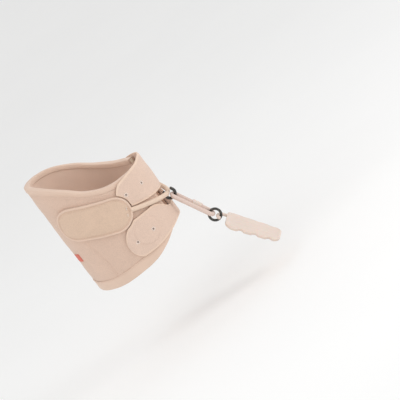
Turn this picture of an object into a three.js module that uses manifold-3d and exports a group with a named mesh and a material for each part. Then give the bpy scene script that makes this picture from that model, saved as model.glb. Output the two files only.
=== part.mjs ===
import * as THREE from 'three';
import { mergeVertices } from 'three/addons/utils/BufferGeometryUtils.js';
import Module from 'manifold-3d';

// Ankle foot orthosis: a padded cuff, two closure straps, two stick-on cord pads, an elastic cord, and the
// elastic tether that lifts the shoe by a plate under its laces. Millimetres. +Z runs up the lower leg, +X
// points to the toes, and -Y is the outer side of the ankle. The origin is on the leg's axis, level with
// the lowest edge of the cuff. Angles on the cuff are in degrees from +X, towards +Y.

// The cuff's outer cloth is an oval tube that flares a little towards the calf.
const HALF_DEPTH = 51.6;
const HALF_WIDTH = 42.6;
const FLARE = 1.4 / 120;
const NEAR_EDGE = -14;
const FAR_EDGE = -324;
const BACK = -180;
const ARC_RADIUS = 50;
const GAP = 0.3;
const CLOTH = 0.9;
const FOAM = 3;
const LINING = 0.8;
const BINDING = 0.6;
const BINDING_LIP = 4;

// Heights of the cuff's two edges, against the angle away from the back of the leg.
const TOP_EDGE = [[0, 123], [45, 119], [75, 107], [95, 95], [120, 86.5], [166, 83.5]];
const LOW_EDGE = [[0, 4], [60, 0], [90, 1], [118, 4.5], [166, 20]];

// Closure straps and their peeling ends.
const STRAP_PROUD = 1.3;
const STRAP_THICK = 1.6;
const STRAP_ROOT = 50;
const UPPER_FOLD = -21;
const LOWER_FOLD = -36;
const UPPER_TIP = -60.6;
const LOWER_TIP = -82;
const FOLD_GAP = 0.4;
const TIP_HALF = 0.8;

// The straps' long edges, as heights against the angle from the toes: a height at 0 and how it bends.
const UPPER_LOW = 51.3;
const UPPER_LOW_BEND = 0.0026;
const UPPER_HIGH = 89;
const UPPER_HIGH_BEND = 0.0013;
const LOWER_LOW = 19;
const LOWER_LOW_DROP = 6.5;
const LOWER_LOW_REACH = 60;
const LOWER_HIGH = 33.2;
const LOWER_HIGH_RISE = 12.3;
const LOWER_HIGH_START = 6;
const LOWER_HIGH_END = 36;
const LOWER_HIGH_SLOPE = 0.03;

// The straps' rounded ends: the upper one is an arc, and the lower one narrows about a middle height.
const UPPER_ARC_ANGLE = 40;
const UPPER_ARC_HEIGHT = 65.9;
const UPPER_ARC_RADIUS = 21;
const LOWER_MID = 30.2;
const LOWER_TIP_MID = 27;
const LOWER_MID_START = 55;
const LOWER_MID_END = 80;
const LOWER_HALF = 18.2;
const LOWER_ROUND_START = 52;
const LOWER_ROUND_POWER = 3.2;

// Hook-tape patches behind the ends, and the tacks that hold them: angle and height, then length and width.
const UPPER_PATCH = { angle: 38.5, height: 70, length: 26, width: 16 };
const LOWER_PATCH = { angle: 60.5, height: 28.5, length: 30, width: 22 };
const UPPER_FRONT_TACK = [-28, 69.5];
const UPPER_REAR_TACK = [-52, 71];
const LOWER_FRONT_TACK = [-50, 29];
const LOWER_REAR_TACK = [-71, 28];
const TACK_RADIUS = 1.6;
const TACK_RISE = 0.9;

// Woven tag near the back of the outer side.
const TAG_SPOT = { side: -1, angle: 151, height: 41 };
const TAG = { length: 13, width: 9, thick: 0.5 };

// Stick-on pads that hold the cord's two ends.
const PAD_LENGTH = 73;
const PAD_WIDTH = 35;
const PAD_ANGLE = 95.4;
const PAD_HEIGHT = 68.5;
const PAD_TILT = THREE.MathUtils.degToRad(20);
const PAD_RIM = 2.5;
const PAD_BASE = 0.9;
const PAD_STACK = 1.5;
const PAD_COVER = 2.2;
const PAD_CROWN = 1.2;
const PAD_CLEAR = 1.1;
const CRIMP = { length: 14, width: 8, thick: 1 };
const CRIMP_INSET = 9;

// Cords, hook, ring and insert.
const CORD = 4.6;
const CORD_PROUD = 3.6;
const CORD_END = 55.2;
const CORD_APEX_HEIGHT = 42.8;
const CORD_RISE = 14;
const CORD_CURVE = 1.4;
const CORD_SPAN = 57;
const CORD_LIFT = 1.9;
const CORD_LIFT_REACH = 26;
const CORD_SQUEEZED = 3.6;
const CORD_STOPS = 14;
const TETHER = 4.3;
const TETHER_BEND = 4.2;
const TETHER_SQUEEZED = 3.3;
const SQUEEZE_START = 1.8;
const SQUEEZE_END = 4.2;
const SLEEVE_SHARE = 0.62;
const SLEEVE_LENGTH = 10;
const SLEEVE_WALL = 0.95;
const HOOK_CENTRE = new THREE.Vector3(58.5, 0, 41.2);
const RING_CENTRE = new THREE.Vector3(81.9, 0, -0.4);
const HOOK_WIRE = 3;
const HOOK_INNER = 7;
const HOOK_EXTRA = 0.8;
const HOOK_MOUTH = 3.4;
const MOUTH_TURN = -30;
const RING_OUTER = 14.2;
const RING_WIRE = 2.6;
const INSERT_SLOPE = THREE.MathUtils.degToRad(52.8);
const INSERT_LENGTH = 54;
const INSERT_TOP_WIDTH = 40;
const INSERT_TOE_WIDTH = 33;
const INSERT_THICK = 2;
const INSERT_NECK = 8.5;
const INSERT_HOOK = 3.2;
const INSERT_HOOK_REACH = 7;
const INSERT_HOOK_BOW = 6;
const INSERT_CORNER = 9;
const NOTCHES = [16, 30, 44];
const NOTCH_DEPTH = 2.2;
const NOTCH_HALF = 3.5;
const FLAT_HALF = 11;
const DROOP = 0.022;

const { degToRad, radToDeg, smoothstep, lerp } = THREE.MathUtils;
const wasm = await Module();
wasm.setup();

const orthosis = new THREE.Group();
orthosis.name = 'ankle_foot_orthosis';

const cloth = { color: 0xdec0ac, roughness: 0.95, metalness: 0 };
const foam = { color: 0xe9ddc9, roughness: 0.9, metalness: 0 };
const liningCloth = { color: 0xd9bea9, roughness: 0.95, metalness: 0 };
const tape = { color: 0xe0c3ae, roughness: 0.85, metalness: 0 };
const strapCloth = { color: 0xe4cbb9, roughness: 0.9, metalness: 0 };
const hookTape = { color: 0xe6d9cc, roughness: 0.8, metalness: 0 };
const padCloth = { color: 0xd7bca6, roughness: 0.95, metalness: 0 };
const elastic = { color: 0xe1c8af, roughness: 0.8, metalness: 0 };
const darkMetal = { color: 0x3c3734, roughness: 0.35, metalness: 0.9 };
const crimpMetal = { color: 0xb0a79c, roughness: 0.4, metalness: 0.9 };
const beigePlastic = { color: 0xe1c3b9, roughness: 0.45, metalness: 0 };
const coralTape = { color: 0xd96a58, roughness: 0.8, metalness: 0 };

function add(name, geometry, finish, parent = orthosis) {
  const mesh = new THREE.Mesh(geometry, new THREE.MeshStandardMaterial(finish));
  mesh.name = name;
  parent.add(mesh);
  return mesh;
}

// Height of an edge at so many degrees away from the back, on a smooth curve through its few points.
function edgeHeight(points, away) {
  let i = 1;
  while (i < points.length - 1 && away > points[i][0]) i += 1;
  const at = (k) => points[Math.min(Math.max(k, 0), points.length - 1)];
  const [x1, y1] = at(i - 1);
  const [x2, y2] = at(i);
  const t = (away - x1) / (x2 - x1);
  const slope = (k) => (k === 0 ? 0 : (at(k + 1)[1] - at(k - 1)[1]) / (at(k + 1)[0] - at(k - 1)[0]));
  const span = x2 - x1;
  const h = 3 * t * t - 2 * t * t * t;
  return lerp(y1, y2, h) + span * (slope(i - 1) * t * (1 - t) ** 2 - slope(i) * t * t * (1 - t));
}

const topEdge = (angle) => edgeHeight(TOP_EDGE, Math.abs(angle - BACK));
const lowEdge = (angle) => edgeHeight(LOW_EDGE, Math.abs(angle - BACK));

// A point at an angle and a height, standing proud of the outer cloth along its outward normal.
function onCuff(angle, height, proud) {
  const t = degToRad(angle);
  const depth = HALF_DEPTH + FLARE * height;
  const width = HALF_WIDTH + FLARE * height;
  const out = new THREE.Vector2(Math.cos(t) / depth, Math.sin(t) / width).normalize();
  return new THREE.Vector3(depth * Math.cos(t) + out.x * proud, width * Math.sin(t) + out.y * proud, height);
}

function outward(angle) {
  const t = degToRad(angle);
  return new THREE.Vector3(Math.cos(t) / HALF_DEPTH, Math.sin(t) / HALF_WIDTH, 0).normalize();
}

// Moves every vertex of a geometry by a rule, then turns its faces out again if the rule mirrored it.
function reshape(geometry, place) {
  const position = geometry.attributes.position;
  const point = new THREE.Vector3();
  for (let i = 0; i < position.count; i += 1) {
    point.fromBufferAttribute(position, i);
    const moved = place(point.x, point.y, point.z);
    position.setXYZ(i, moved.x, moved.y, moved.z);
  }
  if (volume(geometry) < 0) turnFaces(geometry);
  geometry.computeVertexNormals();
  return geometry;
}

function volume(geometry) {
  const corner = [0, 1, 2].map(() => new THREE.Vector3());
  const index = geometry.index;
  const count = index ? index.count : geometry.attributes.position.count;
  let sum = 0;
  for (let i = 0; i < count; i += 3) {
    for (let k = 0; k < 3; k += 1) {
      corner[k].fromBufferAttribute(geometry.attributes.position, index ? index.getX(i + k) : i + k);
    }
    sum += corner[0].dot(corner[1].clone().cross(corner[2]));
  }
  return sum;
}

function turnFaces(geometry) {
  if (!geometry.index) geometry.setIndex([...Array(geometry.attributes.position.count).keys()]);
  const index = geometry.index;
  for (let i = 0; i < index.count; i += 3) {
    const first = index.getX(i);
    index.setX(i, index.getX(i + 2));
    index.setX(i + 2, first);
  }
}

// A sheet of even thickness on the cuff between two angles and two edge rules.
function wrap({ from, to, low, high, proud, thick, steps = 12, rows = 2, ease = (t) => t }) {
  const slab = new THREE.BoxGeometry(1, 1, 1, steps, rows, 1);
  return reshape(slab, (x, y, z) => {
    const angle = lerp(from, to, ease(x + 0.5));
    return onCuff(angle, lerp(low(angle), high(angle), y + 0.5), proud + (z + 0.5) * thick);
  });
}

// A length of folded tape: its section runs along an edge, x proud of the cloth and y beyond the edge.
function foldedTape(steps, place) {
  const outer = GAP + BINDING;
  const stack = CLOTH + FOAM + LINING + 3 * GAP;
  const section = new THREE.Shape([
    new THREE.Vector2(GAP, -BINDING_LIP), new THREE.Vector2(outer, -BINDING_LIP),
    new THREE.Vector2(outer, outer), new THREE.Vector2(-stack - BINDING, outer),
    new THREE.Vector2(-stack - BINDING, -BINDING_LIP), new THREE.Vector2(-stack, -BINDING_LIP),
    new THREE.Vector2(-stack, GAP), new THREE.Vector2(GAP, GAP),
  ]);
  return reshape(new THREE.ExtrudeGeometry(section, { depth: 1, steps, bevelEnabled: false }), place);
}

// A flat spot on the cuff, laid out from its own centre: s towards the toes, t across, tilted down in front.
function spotOn({ side, angle, height, tilt = 0 }, s, t, proud) {
  const forward = s * Math.cos(tilt) + t * Math.sin(tilt);
  const up = t * Math.cos(tilt) - s * Math.sin(tilt);
  return onCuff(side * (angle - radToDeg(forward / ARC_RADIUS)), height + up, proud);
}

const halfAcross = (s, length, width) => {
  const past = Math.max(0, Math.abs(s) - (length - width) / 2);
  return Math.max(TIP_HALF, Math.sqrt(Math.max(0, (width / 2) ** 2 - past ** 2)));
};

// A round-ended pad lying on the cuff, domed by its crown.
function roundEnded(spot, { length, width, proud, thick, crown = 0, steps = 22, rows = 2 }) {
  return reshape(new THREE.BoxGeometry(1, 1, 1, steps, rows, 1), (x, y, z) => {
    const s = (length / 2) * Math.sin(x * Math.PI);
    const half = halfAcross(s, length, width);
    const t = 2 * y * half;
    const dome = crown * (1 - (2 * y) ** 2) * (half / (width / 2)) ** 2;
    return spotOn(spot, s, t, proud + (z + 0.5) * (thick + dome));
  });
}

// A point on a round-ended outline and its outward direction, by share of the way round.
function outlinePoint(share, length, width) {
  const run = length - width;
  const radius = width / 2;
  const half = run + Math.PI * radius;
  const quarter = (Math.PI * radius) / 2;
  const side = share < 0.5 ? 1 : -1;
  const way = (share % 0.5) * 2 * half;
  const straight = Math.min(Math.max(way - quarter, 0), run);
  const turn = (way - straight) / radius;
  return {
    x: side * (run / 2 - straight + radius * Math.cos(turn)),
    y: side * radius * Math.sin(turn),
    out: [side * Math.cos(turn), side * Math.sin(turn)],
  };
}

// Round piping laid along that outline.
function pipingOn(spot, length, width, thick, proud, steps) {
  const torus = new THREE.TorusGeometry(2, 1, 8, steps);
  return reshape(torus, (x, y, z) => {
    const turn = Math.atan2(y, x) / (2 * Math.PI) + 1;
    const share = (Math.round(turn * steps) % steps) / steps;
    const across = ((Math.hypot(x, y) - 2) * thick) / 2;
    const line = outlinePoint(share, length - thick, width - thick);
    const height = proud + ((z + 1) * thick) / 2;
    return spotOn(spot, line.x + line.out[0] * across, line.y + line.out[1] * across, height);
  });
}

function circle(radius, sides) {
  const points = [];
  for (let i = 0; i < sides; i += 1) {
    const turn = (2 * Math.PI * i) / sides;
    points.push(new THREE.Vector2(radius * Math.cos(turn), radius * Math.sin(turn)));
  }
  return new THREE.Shape(points);
}

function rodAlong(points, diameter, steps, sides = 10) {
  const path = new THREE.CatmullRomCurve3(points, false, 'centripetal');
  const settings = { steps, extrudePath: path, bevelEnabled: false };
  return new THREE.ExtrudeGeometry(circle(diameter / 2, sides), settings);
}

function toSolid(geometry) {
  const bare = geometry.clone();
  bare.deleteAttribute('normal');
  bare.deleteAttribute('uv');
  const merged = mergeVertices(bare, 1e-4);
  return new wasm.Manifold(new wasm.Mesh({
    numProp: 3,
    vertProperties: new Float32Array(merged.attributes.position.array),
    triVerts: new Uint32Array(merged.index.array),
  }));
}

function fromSolid(solid) {
  const mesh = solid.getMesh();
  const geometry = new THREE.BufferGeometry();
  geometry.setAttribute('position', new THREE.BufferAttribute(mesh.vertProperties, 3));
  geometry.setIndex(new THREE.BufferAttribute(mesh.triVerts, 1));
  geometry.computeVertexNormals();
  return geometry;
}

// Cuff body: outer cloth, foam core and lining as nested sheets, then the tapes folded over their edges.
const bodySheet = (proud, thick) => wrap({
  from: NEAR_EDGE, to: FAR_EDGE, low: lowEdge, high: topEdge, proud, thick, steps: 48,
});
const foamProud = -CLOTH - GAP - FOAM;
const liningProud = foamProud - GAP - LINING;
add('cuff_outer_cloth', bodySheet(-CLOTH, CLOTH), cloth);
add('cuff_foam_core', bodySheet(foamProud, FOAM), foam);
add('cuff_lining', bodySheet(liningProud, LINING), liningCloth);

const alongBody = (t) => lerp(NEAR_EDGE, FAR_EDGE, t);
const alongTop = (x, y, t) => onCuff(alongBody(t), topEdge(alongBody(t)) + y, x);
const alongLow = (x, y, t) => onCuff(alongBody(t), lowEdge(alongBody(t)) - y, x);
add('top_edge_binding', foldedTape(44, alongTop), tape);
add('low_edge_binding', foldedTape(44, alongLow), tape);
const cornerRoom = BINDING_LIP + GAP;
const endTape = (edge, turn) => foldedTape(4, (x, y, t) => {
  const height = lerp(lowEdge(edge) + cornerRoom, topEdge(edge) - cornerRoom, t);
  return onCuff(edge + turn * radToDeg(y / ARC_RADIUS), height, x);
});
add('near_edge_binding', endTape(NEAR_EDGE, 1), tape);
add('far_edge_binding', endTape(FAR_EDGE, -1), tape);
add('blank_tag', roundEnded(TAG_SPOT, { ...TAG, proud: GAP, steps: 10 }), coralTape);

// The pads' round front end, which the straps' edges keep clear of.
const padSpot = (side) => ({ side, angle: PAD_ANGLE, height: PAD_HEIGHT, tilt: PAD_TILT });
const padNose = (PAD_LENGTH - PAD_WIDTH) / 2;
const noseAngle = PAD_ANGLE - radToDeg((padNose * Math.cos(PAD_TILT)) / ARC_RADIUS);
const noseHeight = PAD_HEIGHT - padNose * Math.sin(PAD_TILT);
const noseHalf = (angle) => {
  const across = ARC_RADIUS * degToRad(noseAngle - Math.abs(angle));
  return Math.sqrt(Math.max(0, (PAD_WIDTH / 2 + PAD_CLEAR) ** 2 - across ** 2));
};
const clearOver = (angle) => (noseHalf(angle) > 0 ? noseHeight + noseHalf(angle) : -Infinity);
const clearUnder = (angle) => (noseHalf(angle) > 0 ? noseHeight - noseHalf(angle) : Infinity);

// Strap outlines, as heights at an angle. Each end closes in a rounded tip beside the pad.
const upperLow = (angle) => UPPER_LOW + UPPER_LOW_BEND * angle ** 2;
const upperHigh = (angle) => UPPER_HIGH - UPPER_HIGH_BEND * angle ** 2;
const lowerLow = (angle) => LOWER_LOW - LOWER_LOW_DROP * smoothstep(Math.abs(angle), 0, LOWER_LOW_REACH);
const lowerHigh = (angle) => {
  const rise = smoothstep(Math.abs(angle), LOWER_HIGH_START, LOWER_HIGH_END);
  return LOWER_HIGH + LOWER_HIGH_RISE * rise + LOWER_HIGH_SLOPE * Math.abs(angle);
};

const upperTabHigh = (angle) => {
  const across = ARC_RADIUS * degToRad(Math.max(0, Math.abs(angle) - UPPER_ARC_ANGLE));
  return Math.min(upperHigh(angle), UPPER_ARC_HEIGHT + Math.sqrt(UPPER_ARC_RADIUS ** 2 - across ** 2));
};
const upperTabLow = (angle) => (
  Math.min(Math.max(upperLow(angle), clearOver(angle)), upperTabHigh(angle) - TIP_HALF)
);
const lowerMid = (angle) => (
  lerp(LOWER_MID, LOWER_TIP_MID, smoothstep(Math.abs(angle), LOWER_MID_START, LOWER_MID_END))
);
const lowerHalf = (angle) => {
  const past = Math.max(0, Math.abs(angle) - LOWER_ROUND_START) / (Math.abs(LOWER_TIP) - LOWER_ROUND_START);
  return Math.max(TIP_HALF, LOWER_HALF * Math.sqrt(Math.max(0, 1 - past ** LOWER_ROUND_POWER)));
};
const lowerTabLow = (angle) => Math.max(lowerLow(angle), lowerMid(angle) - lowerHalf(angle));
const lowerTabHigh = (angle) => (
  Math.min(lowerHigh(angle), lowerMid(angle) + lowerHalf(angle), clearUnder(angle))
);

// Each strap crosses the front from the far side, and its end peels about a fold on the near side.
const foldShift = radToDeg(FOLD_GAP / ARC_RADIUS);
const endEase = (t) => Math.sin((t * Math.PI) / 2);
function strap(name, fold, tip, low, high, tabLow, tabHigh) {
  const sheet = { proud: STRAP_PROUD, thick: STRAP_THICK };
  add(`${name}_strap`, wrap({ from: STRAP_ROOT, to: fold, low, high, ...sheet, steps: 18 }), strapCloth);
  add(`${name}_tab_end`, wrap({
    from: fold - foldShift, to: tip, low: tabLow, high: tabHigh, ...sheet, steps: 18, ease: endEase,
  }), strapCloth);
}
strap('upper', UPPER_FOLD, UPPER_TIP, upperLow, upperHigh, upperTabLow, upperTabHigh);
strap('lower', LOWER_FOLD, LOWER_TIP, lowerLow, lowerHigh, lowerTabLow, lowerTabHigh);

function hookPatch(name, { angle, height, length, width }) {
  const patch = { length, width, proud: GAP, thick: STRAP_PROUD - 2 * GAP, steps: 14 };
  add(name, roundEnded({ side: -1, angle, height }, patch), hookTape);
}
hookPatch('upper_hook_patch', UPPER_PATCH);
hookPatch('lower_hook_patch', LOWER_PATCH);

// Stitched tacks that hold each hook patch to its tab, as low round heads.
function tack(name, [angle, height]) {
  const profile = [
    new THREE.Vector2(0, 0),
    new THREE.Vector2(TACK_RADIUS, 0),
    new THREE.Vector2(TACK_RADIUS * 0.9, TACK_RISE * 0.55),
    new THREE.Vector2(TACK_RADIUS * 0.5, TACK_RISE * 0.9),
    new THREE.Vector2(0, TACK_RISE),
  ];
  const head = add(name, new THREE.LatheGeometry(profile, 12), strapCloth);
  head.position.copy(onCuff(angle, height, STRAP_PROUD + STRAP_THICK + GAP));
  head.quaternion.setFromUnitVectors(new THREE.Vector3(0, 1, 0), outward(angle));
}
tack('upper_front_tack', UPPER_FRONT_TACK);
tack('upper_rear_tack', UPPER_REAR_TACK);
tack('lower_front_tack', LOWER_FRONT_TACK);
tack('lower_rear_tack', LOWER_REAR_TACK);

// Cord pads, one each side: hook-tape base, crimp plate on the cord's end, crowned cover, piped rim.
for (const [name, side] of [['near', -1], ['far', 1]]) {
  const spot = padSpot(side);
  add(`${name}_pad_base`, roundEnded(spot, {
    length: PAD_LENGTH, width: PAD_WIDTH, proud: GAP, thick: PAD_BASE,
  }), hookTape);
  const crimp = { ...CRIMP, proud: PAD_STACK, steps: 8 };
  const crimpShift = PAD_LENGTH / 2 - PAD_RIM - CRIMP_INSET;
  const crimpSpot = {
    side,
    angle: PAD_ANGLE - radToDeg((crimpShift * Math.cos(PAD_TILT)) / ARC_RADIUS),
    height: PAD_HEIGHT - crimpShift * Math.sin(PAD_TILT),
    tilt: PAD_TILT,
  };
  add(`${name}_cord_crimp`, roundEnded(crimpSpot, crimp), crimpMetal);
  const cover = roundEnded(spot, {
    length: PAD_LENGTH - 2 * PAD_RIM - 2 * GAP, width: PAD_WIDTH - 2 * PAD_RIM - 2 * GAP,
    proud: PAD_STACK, thick: PAD_COVER, crown: PAD_CROWN, rows: 6,
  });
  const pocket = roundEnded(crimpSpot, {
    ...crimp,
    length: CRIMP.length + 2 * GAP,
    width: CRIMP.width + 2 * GAP,
    proud: PAD_STACK - CRIMP.thick,
    thick: 2 * CRIMP.thick + GAP,
  });
  add(`${name}_pad_cover`, fromSolid(toSolid(cover).subtract(toSolid(pocket))), padCloth);
  add(`${name}_pad_rim`, pipingOn(spot, PAD_LENGTH, PAD_WIDTH, PAD_RIM, PAD_STACK, 36), tape);
}

// Elastic cord from pad to pad, round the front of the ankle in a shallow V.
const cordHeight = (angle) => CORD_APEX_HEIGHT + CORD_RISE * (Math.abs(angle) / CORD_SPAN) ** CORD_CURVE;
const cordProud = (angle) => (
  CORD_PROUD + CORD_LIFT * (1 - smoothstep(Math.abs(angle), 0, CORD_LIFT_REACH))
);
const onCord = (angle) => onCuff(angle, cordHeight(angle), cordProud(angle));
const cordRoute = [];
for (let i = 0; i <= CORD_STOPS; i += 1) {
  const angle = lerp(-CORD_END, CORD_END, i / CORD_STOPS);
  cordRoute.push(onCord(angle));
}

// How far the hook squeezes a cord's thickness, by the distance from the hook's plane.
const squeeze = (thin, full, aside) => (
  lerp(thin / full, 1, smoothstep(Math.abs(aside), SQUEEZE_START, SQUEEZE_END))
);
add('tension_cord', reshape(rodAlong(cordRoute, CORD, 28), (x, y, z) => {
  const core = onCord(radToDeg(Math.asin(Math.min(Math.max(y / HALF_WIDTH, -1), 1))));
  const share = squeeze(CORD_SQUEEZED, CORD, y);
  return new THREE.Vector3(core.x + (x - core.x) * share, y, core.z + (z - core.z) * share);
}), elastic);

// Hook, tether and ring follow one straight pull from the cord's apex to the shoe.
const pull = RING_CENTRE.clone().sub(HOOK_CENTRE).normalize();
const rear = new THREE.Vector3(pull.z, 0, -pull.x);
const along = (origin, distance, side = 0) => origin.clone()
  .addScaledVector(pull, distance)
  .add(new THREE.Vector3(0, side, 0));

// Open oval hook. Its mouth faces up the shin, off the cord's pull, and is narrower than the cord.
const hookRadius = (HOOK_INNER + HOOK_WIRE) / 2;
const mouthHalf = (HOOK_MOUTH + HOOK_WIRE) / 2 / hookRadius;
const hookStops = 26;
const hookRoute = [];
for (let i = 0; i <= hookStops; i += 1) {
  const turn = degToRad(MOUTH_TURN) + mouthHalf + ((2 * Math.PI - 2 * mouthHalf) * i) / hookStops;
  const up = Math.cos(turn) * hookRadius + (Math.sign(Math.cos(turn)) * HOOK_EXTRA) / 2;
  hookRoute.push(along(HOOK_CENTRE, -up).addScaledVector(rear, Math.sin(turn) * hookRadius));
}
add('front_hook', rodAlong(hookRoute, HOOK_WIRE, 34), darkMetal);

// Tether: one elastic loop through the hook and the ring, its ends meeting inside a crimped sleeve.
const hookBight = HOOK_INNER / 2 + HOOK_EXTRA / 2 - TETHER_SQUEEZED / 2 - GAP;
const ringBight = RING_OUTER / 2 - RING_WIRE - TETHER / 2 - GAP;
const pullLength = RING_CENTRE.distanceTo(HOOK_CENTRE);
const topTurn = hookBight + TETHER_BEND;
const endTurn = pullLength - ringBight - TETHER_BEND;
const joinAt = lerp(topTurn, endTurn, SLEEVE_SHARE);
const joinGap = 0.4;
const bendSteps = 6;
const tetherRoute = [
  along(HOOK_CENTRE, joinAt - joinGap, TETHER_BEND),
  along(HOOK_CENTRE, lerp(joinAt, topTurn, 0.5), TETHER_BEND),
];
for (let i = 0; i <= bendSteps; i += 1) {
  const turn = (Math.PI * i) / bendSteps;
  tetherRoute.push(along(HOOK_CENTRE, topTurn - TETHER_BEND * Math.sin(turn), TETHER_BEND * Math.cos(turn)));
}
for (const share of [0.25, 0.5, 0.75]) {
  tetherRoute.push(along(HOOK_CENTRE, lerp(topTurn, endTurn, share), -TETHER_BEND));
}
for (let i = 0; i <= bendSteps; i += 1) {
  const turn = (Math.PI * i) / bendSteps;
  tetherRoute.push(along(HOOK_CENTRE, endTurn + TETHER_BEND * Math.sin(turn), -TETHER_BEND * Math.cos(turn)));
}
tetherRoute.push(along(HOOK_CENTRE, joinAt + joinGap, TETHER_BEND));
add('tether_cord', reshape(rodAlong(tetherRoute, TETHER, 54), (x, y, z) => {
  const point = new THREE.Vector3(x, y, z);
  const distance = point.clone().sub(HOOK_CENTRE).dot(pull);
  if (distance > topTurn) return point;
  const aside = point.clone().sub(HOOK_CENTRE).dot(rear);
  const spread = Math.hypot(topTurn - distance, y);
  const share = squeeze(TETHER_SQUEEZED, TETHER, y);
  const reach = TETHER_BEND + (spread - TETHER_BEND) * share;
  const turned = along(HOOK_CENTRE, topTurn - (reach * (topTurn - distance)) / spread, (reach * y) / spread);
  return turned.addScaledVector(rear, aside * share);
}), elastic);

function hollowSleeve(inner, outer, length) {
  const half = length / 2;
  const profile = [
    new THREE.Vector2(inner, -half),
    new THREE.Vector2(outer, -half),
    new THREE.Vector2(outer, half),
    new THREE.Vector2(inner, half),
    new THREE.Vector2(inner, -half),
  ];
  return new THREE.LatheGeometry(profile, 16);
}
const sleeveShape = hollowSleeve(TETHER / 2 + GAP, TETHER / 2 + SLEEVE_WALL, SLEEVE_LENGTH);
const sleeve = add('tether_sleeve', sleeveShape, beigePlastic);
sleeve.position.copy(along(HOOK_CENTRE, joinAt, TETHER_BEND));
sleeve.quaternion.setFromUnitVectors(new THREE.Vector3(0, 1, 0), pull);

const ringShape = new THREE.TorusGeometry((RING_OUTER - RING_WIRE) / 2, RING_WIRE / 2, 10, 28);
const ring = add('shoe_ring', ringShape, darkMetal);
ring.position.copy(RING_CENTRE);
ring.rotation.x = Math.PI / 2;

// Insert: a flat-backed plate with drooping wings and lace notches, and an open hook at its top end.
const insertSlopeDir = new THREE.Vector3(Math.cos(INSERT_SLOPE), 0, -Math.sin(INSERT_SLOPE));
const hookSeat = RING_OUTER / 2 - RING_WIRE - INSERT_HOOK / 2 - GAP;
const insert = new THREE.Group();
insert.position.copy(RING_CENTRE).addScaledVector(insertSlopeDir, hookSeat);
insert.rotation.y = INSERT_SLOPE;
orthosis.add(insert);

function insertHalfWidth(x) {
  const intoCorner = Math.max(0, INSERT_CORNER - Math.min(x, INSERT_LENGTH - x));
  const corner = INSERT_CORNER - Math.sqrt(Math.max(0, INSERT_CORNER ** 2 - intoCorner ** 2));
  const notch = NOTCHES.reduce((sum, n) => sum + Math.max(0, 1 - ((x - n) / NOTCH_HALF) ** 2), 0);
  return lerp(INSERT_TOP_WIDTH, INSERT_TOE_WIDTH, x / INSERT_LENGTH) / 2 - corner - notch * NOTCH_DEPTH;
}
const plate = reshape(new THREE.BoxGeometry(1, 1, 1, 30, 8, 1), (u, v, w) => {
  const x = (INSERT_LENGTH / 2) * (1 + Math.sin(u * Math.PI));
  const y = 2 * v * insertHalfWidth(x);
  const droop = DROOP * Math.max(0, Math.abs(y) - FLAT_HALF) ** 2;
  return new THREE.Vector3(INSERT_NECK + x, y, w * INSERT_THICK - droop);
});
const hookPoints = [
  new THREE.Vector3(INSERT_NECK + 3, INSERT_HOOK_REACH, 0),
  new THREE.Vector3(INSERT_NECK - 2.5, INSERT_HOOK_REACH, 0),
];
for (const turn of [30, 60, 90, 120, 150]) {
  const t = degToRad(turn);
  hookPoints.push(new THREE.Vector3(INSERT_HOOK_BOW * (1 - Math.sin(t)), INSERT_HOOK_REACH * Math.cos(t), 0));
}
const insertHook = rodAlong(hookPoints, INSERT_HOOK, 22);
add('insert_plate', fromSolid(toSolid(plate).add(toSolid(insertHook))), beigePlastic, insert);

export default orthosis;
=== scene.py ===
"""An elastic foot-drop orthosis: padded ankle cuff, two closure straps, two cord pads, an elastic V cord with
an open hook, and an elastic tether to a ring and a plate for under the laces. Lengths are in millimetres on
the drawing board and metres in the meshes. Angles on the cuff are degrees from the toes."""

import math

import bmesh
import bpy
from mathutils import Matrix, Quaternion, Vector, noise


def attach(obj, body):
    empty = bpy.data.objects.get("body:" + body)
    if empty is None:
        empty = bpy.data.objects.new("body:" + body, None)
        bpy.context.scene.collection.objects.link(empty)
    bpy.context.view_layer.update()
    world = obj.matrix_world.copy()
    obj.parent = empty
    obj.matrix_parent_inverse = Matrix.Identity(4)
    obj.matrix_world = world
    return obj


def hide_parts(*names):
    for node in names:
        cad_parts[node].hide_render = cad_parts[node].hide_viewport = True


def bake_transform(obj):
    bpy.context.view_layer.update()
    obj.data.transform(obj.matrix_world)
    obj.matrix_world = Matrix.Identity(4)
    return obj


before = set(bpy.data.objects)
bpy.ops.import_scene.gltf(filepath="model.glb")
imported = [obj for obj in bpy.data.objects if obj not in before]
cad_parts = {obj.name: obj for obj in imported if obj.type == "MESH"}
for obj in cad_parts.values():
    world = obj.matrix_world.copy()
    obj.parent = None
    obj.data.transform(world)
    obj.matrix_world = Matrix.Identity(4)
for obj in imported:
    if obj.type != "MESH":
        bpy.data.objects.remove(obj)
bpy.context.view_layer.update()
MM = 0.001
UP = Vector((0, 0, 1))
ASIDE = Vector((0, 1, 0))

# The cuff's outer cloth, an oval tube that flares a little towards the calf.
HALF_DEPTH, HALF_WIDTH, FLARE = 51.6, 42.6, 1.4 / 120
NEAR_EDGE, FAR_EDGE, BACK = -14, -324, -180
ARC_RADIUS = 50
GIVE_WAVES, GIVE_HEIGHT = ((1.7, 0.75), (4.3, 0.32)), 45
TOP_EDGE = ((0, 123), (45, 119), (75, 107), (95, 95), (120, 86.5), (166, 83.5))
LOW_EDGE = ((0, 4), (60, 0), (90, 1), (118, 4.5), (166, 20))

# Layers, counted outward from the outer face of the cloth.
CLOTH = 0.9
FOAM_INNER, FOAM_OUTER = -4.2, -1.0
LINING_INNER, LINING_OUTER = -5.2, -4.3
STRAP_INNER, STRAP_OUTER = 1.3, 2.9

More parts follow.
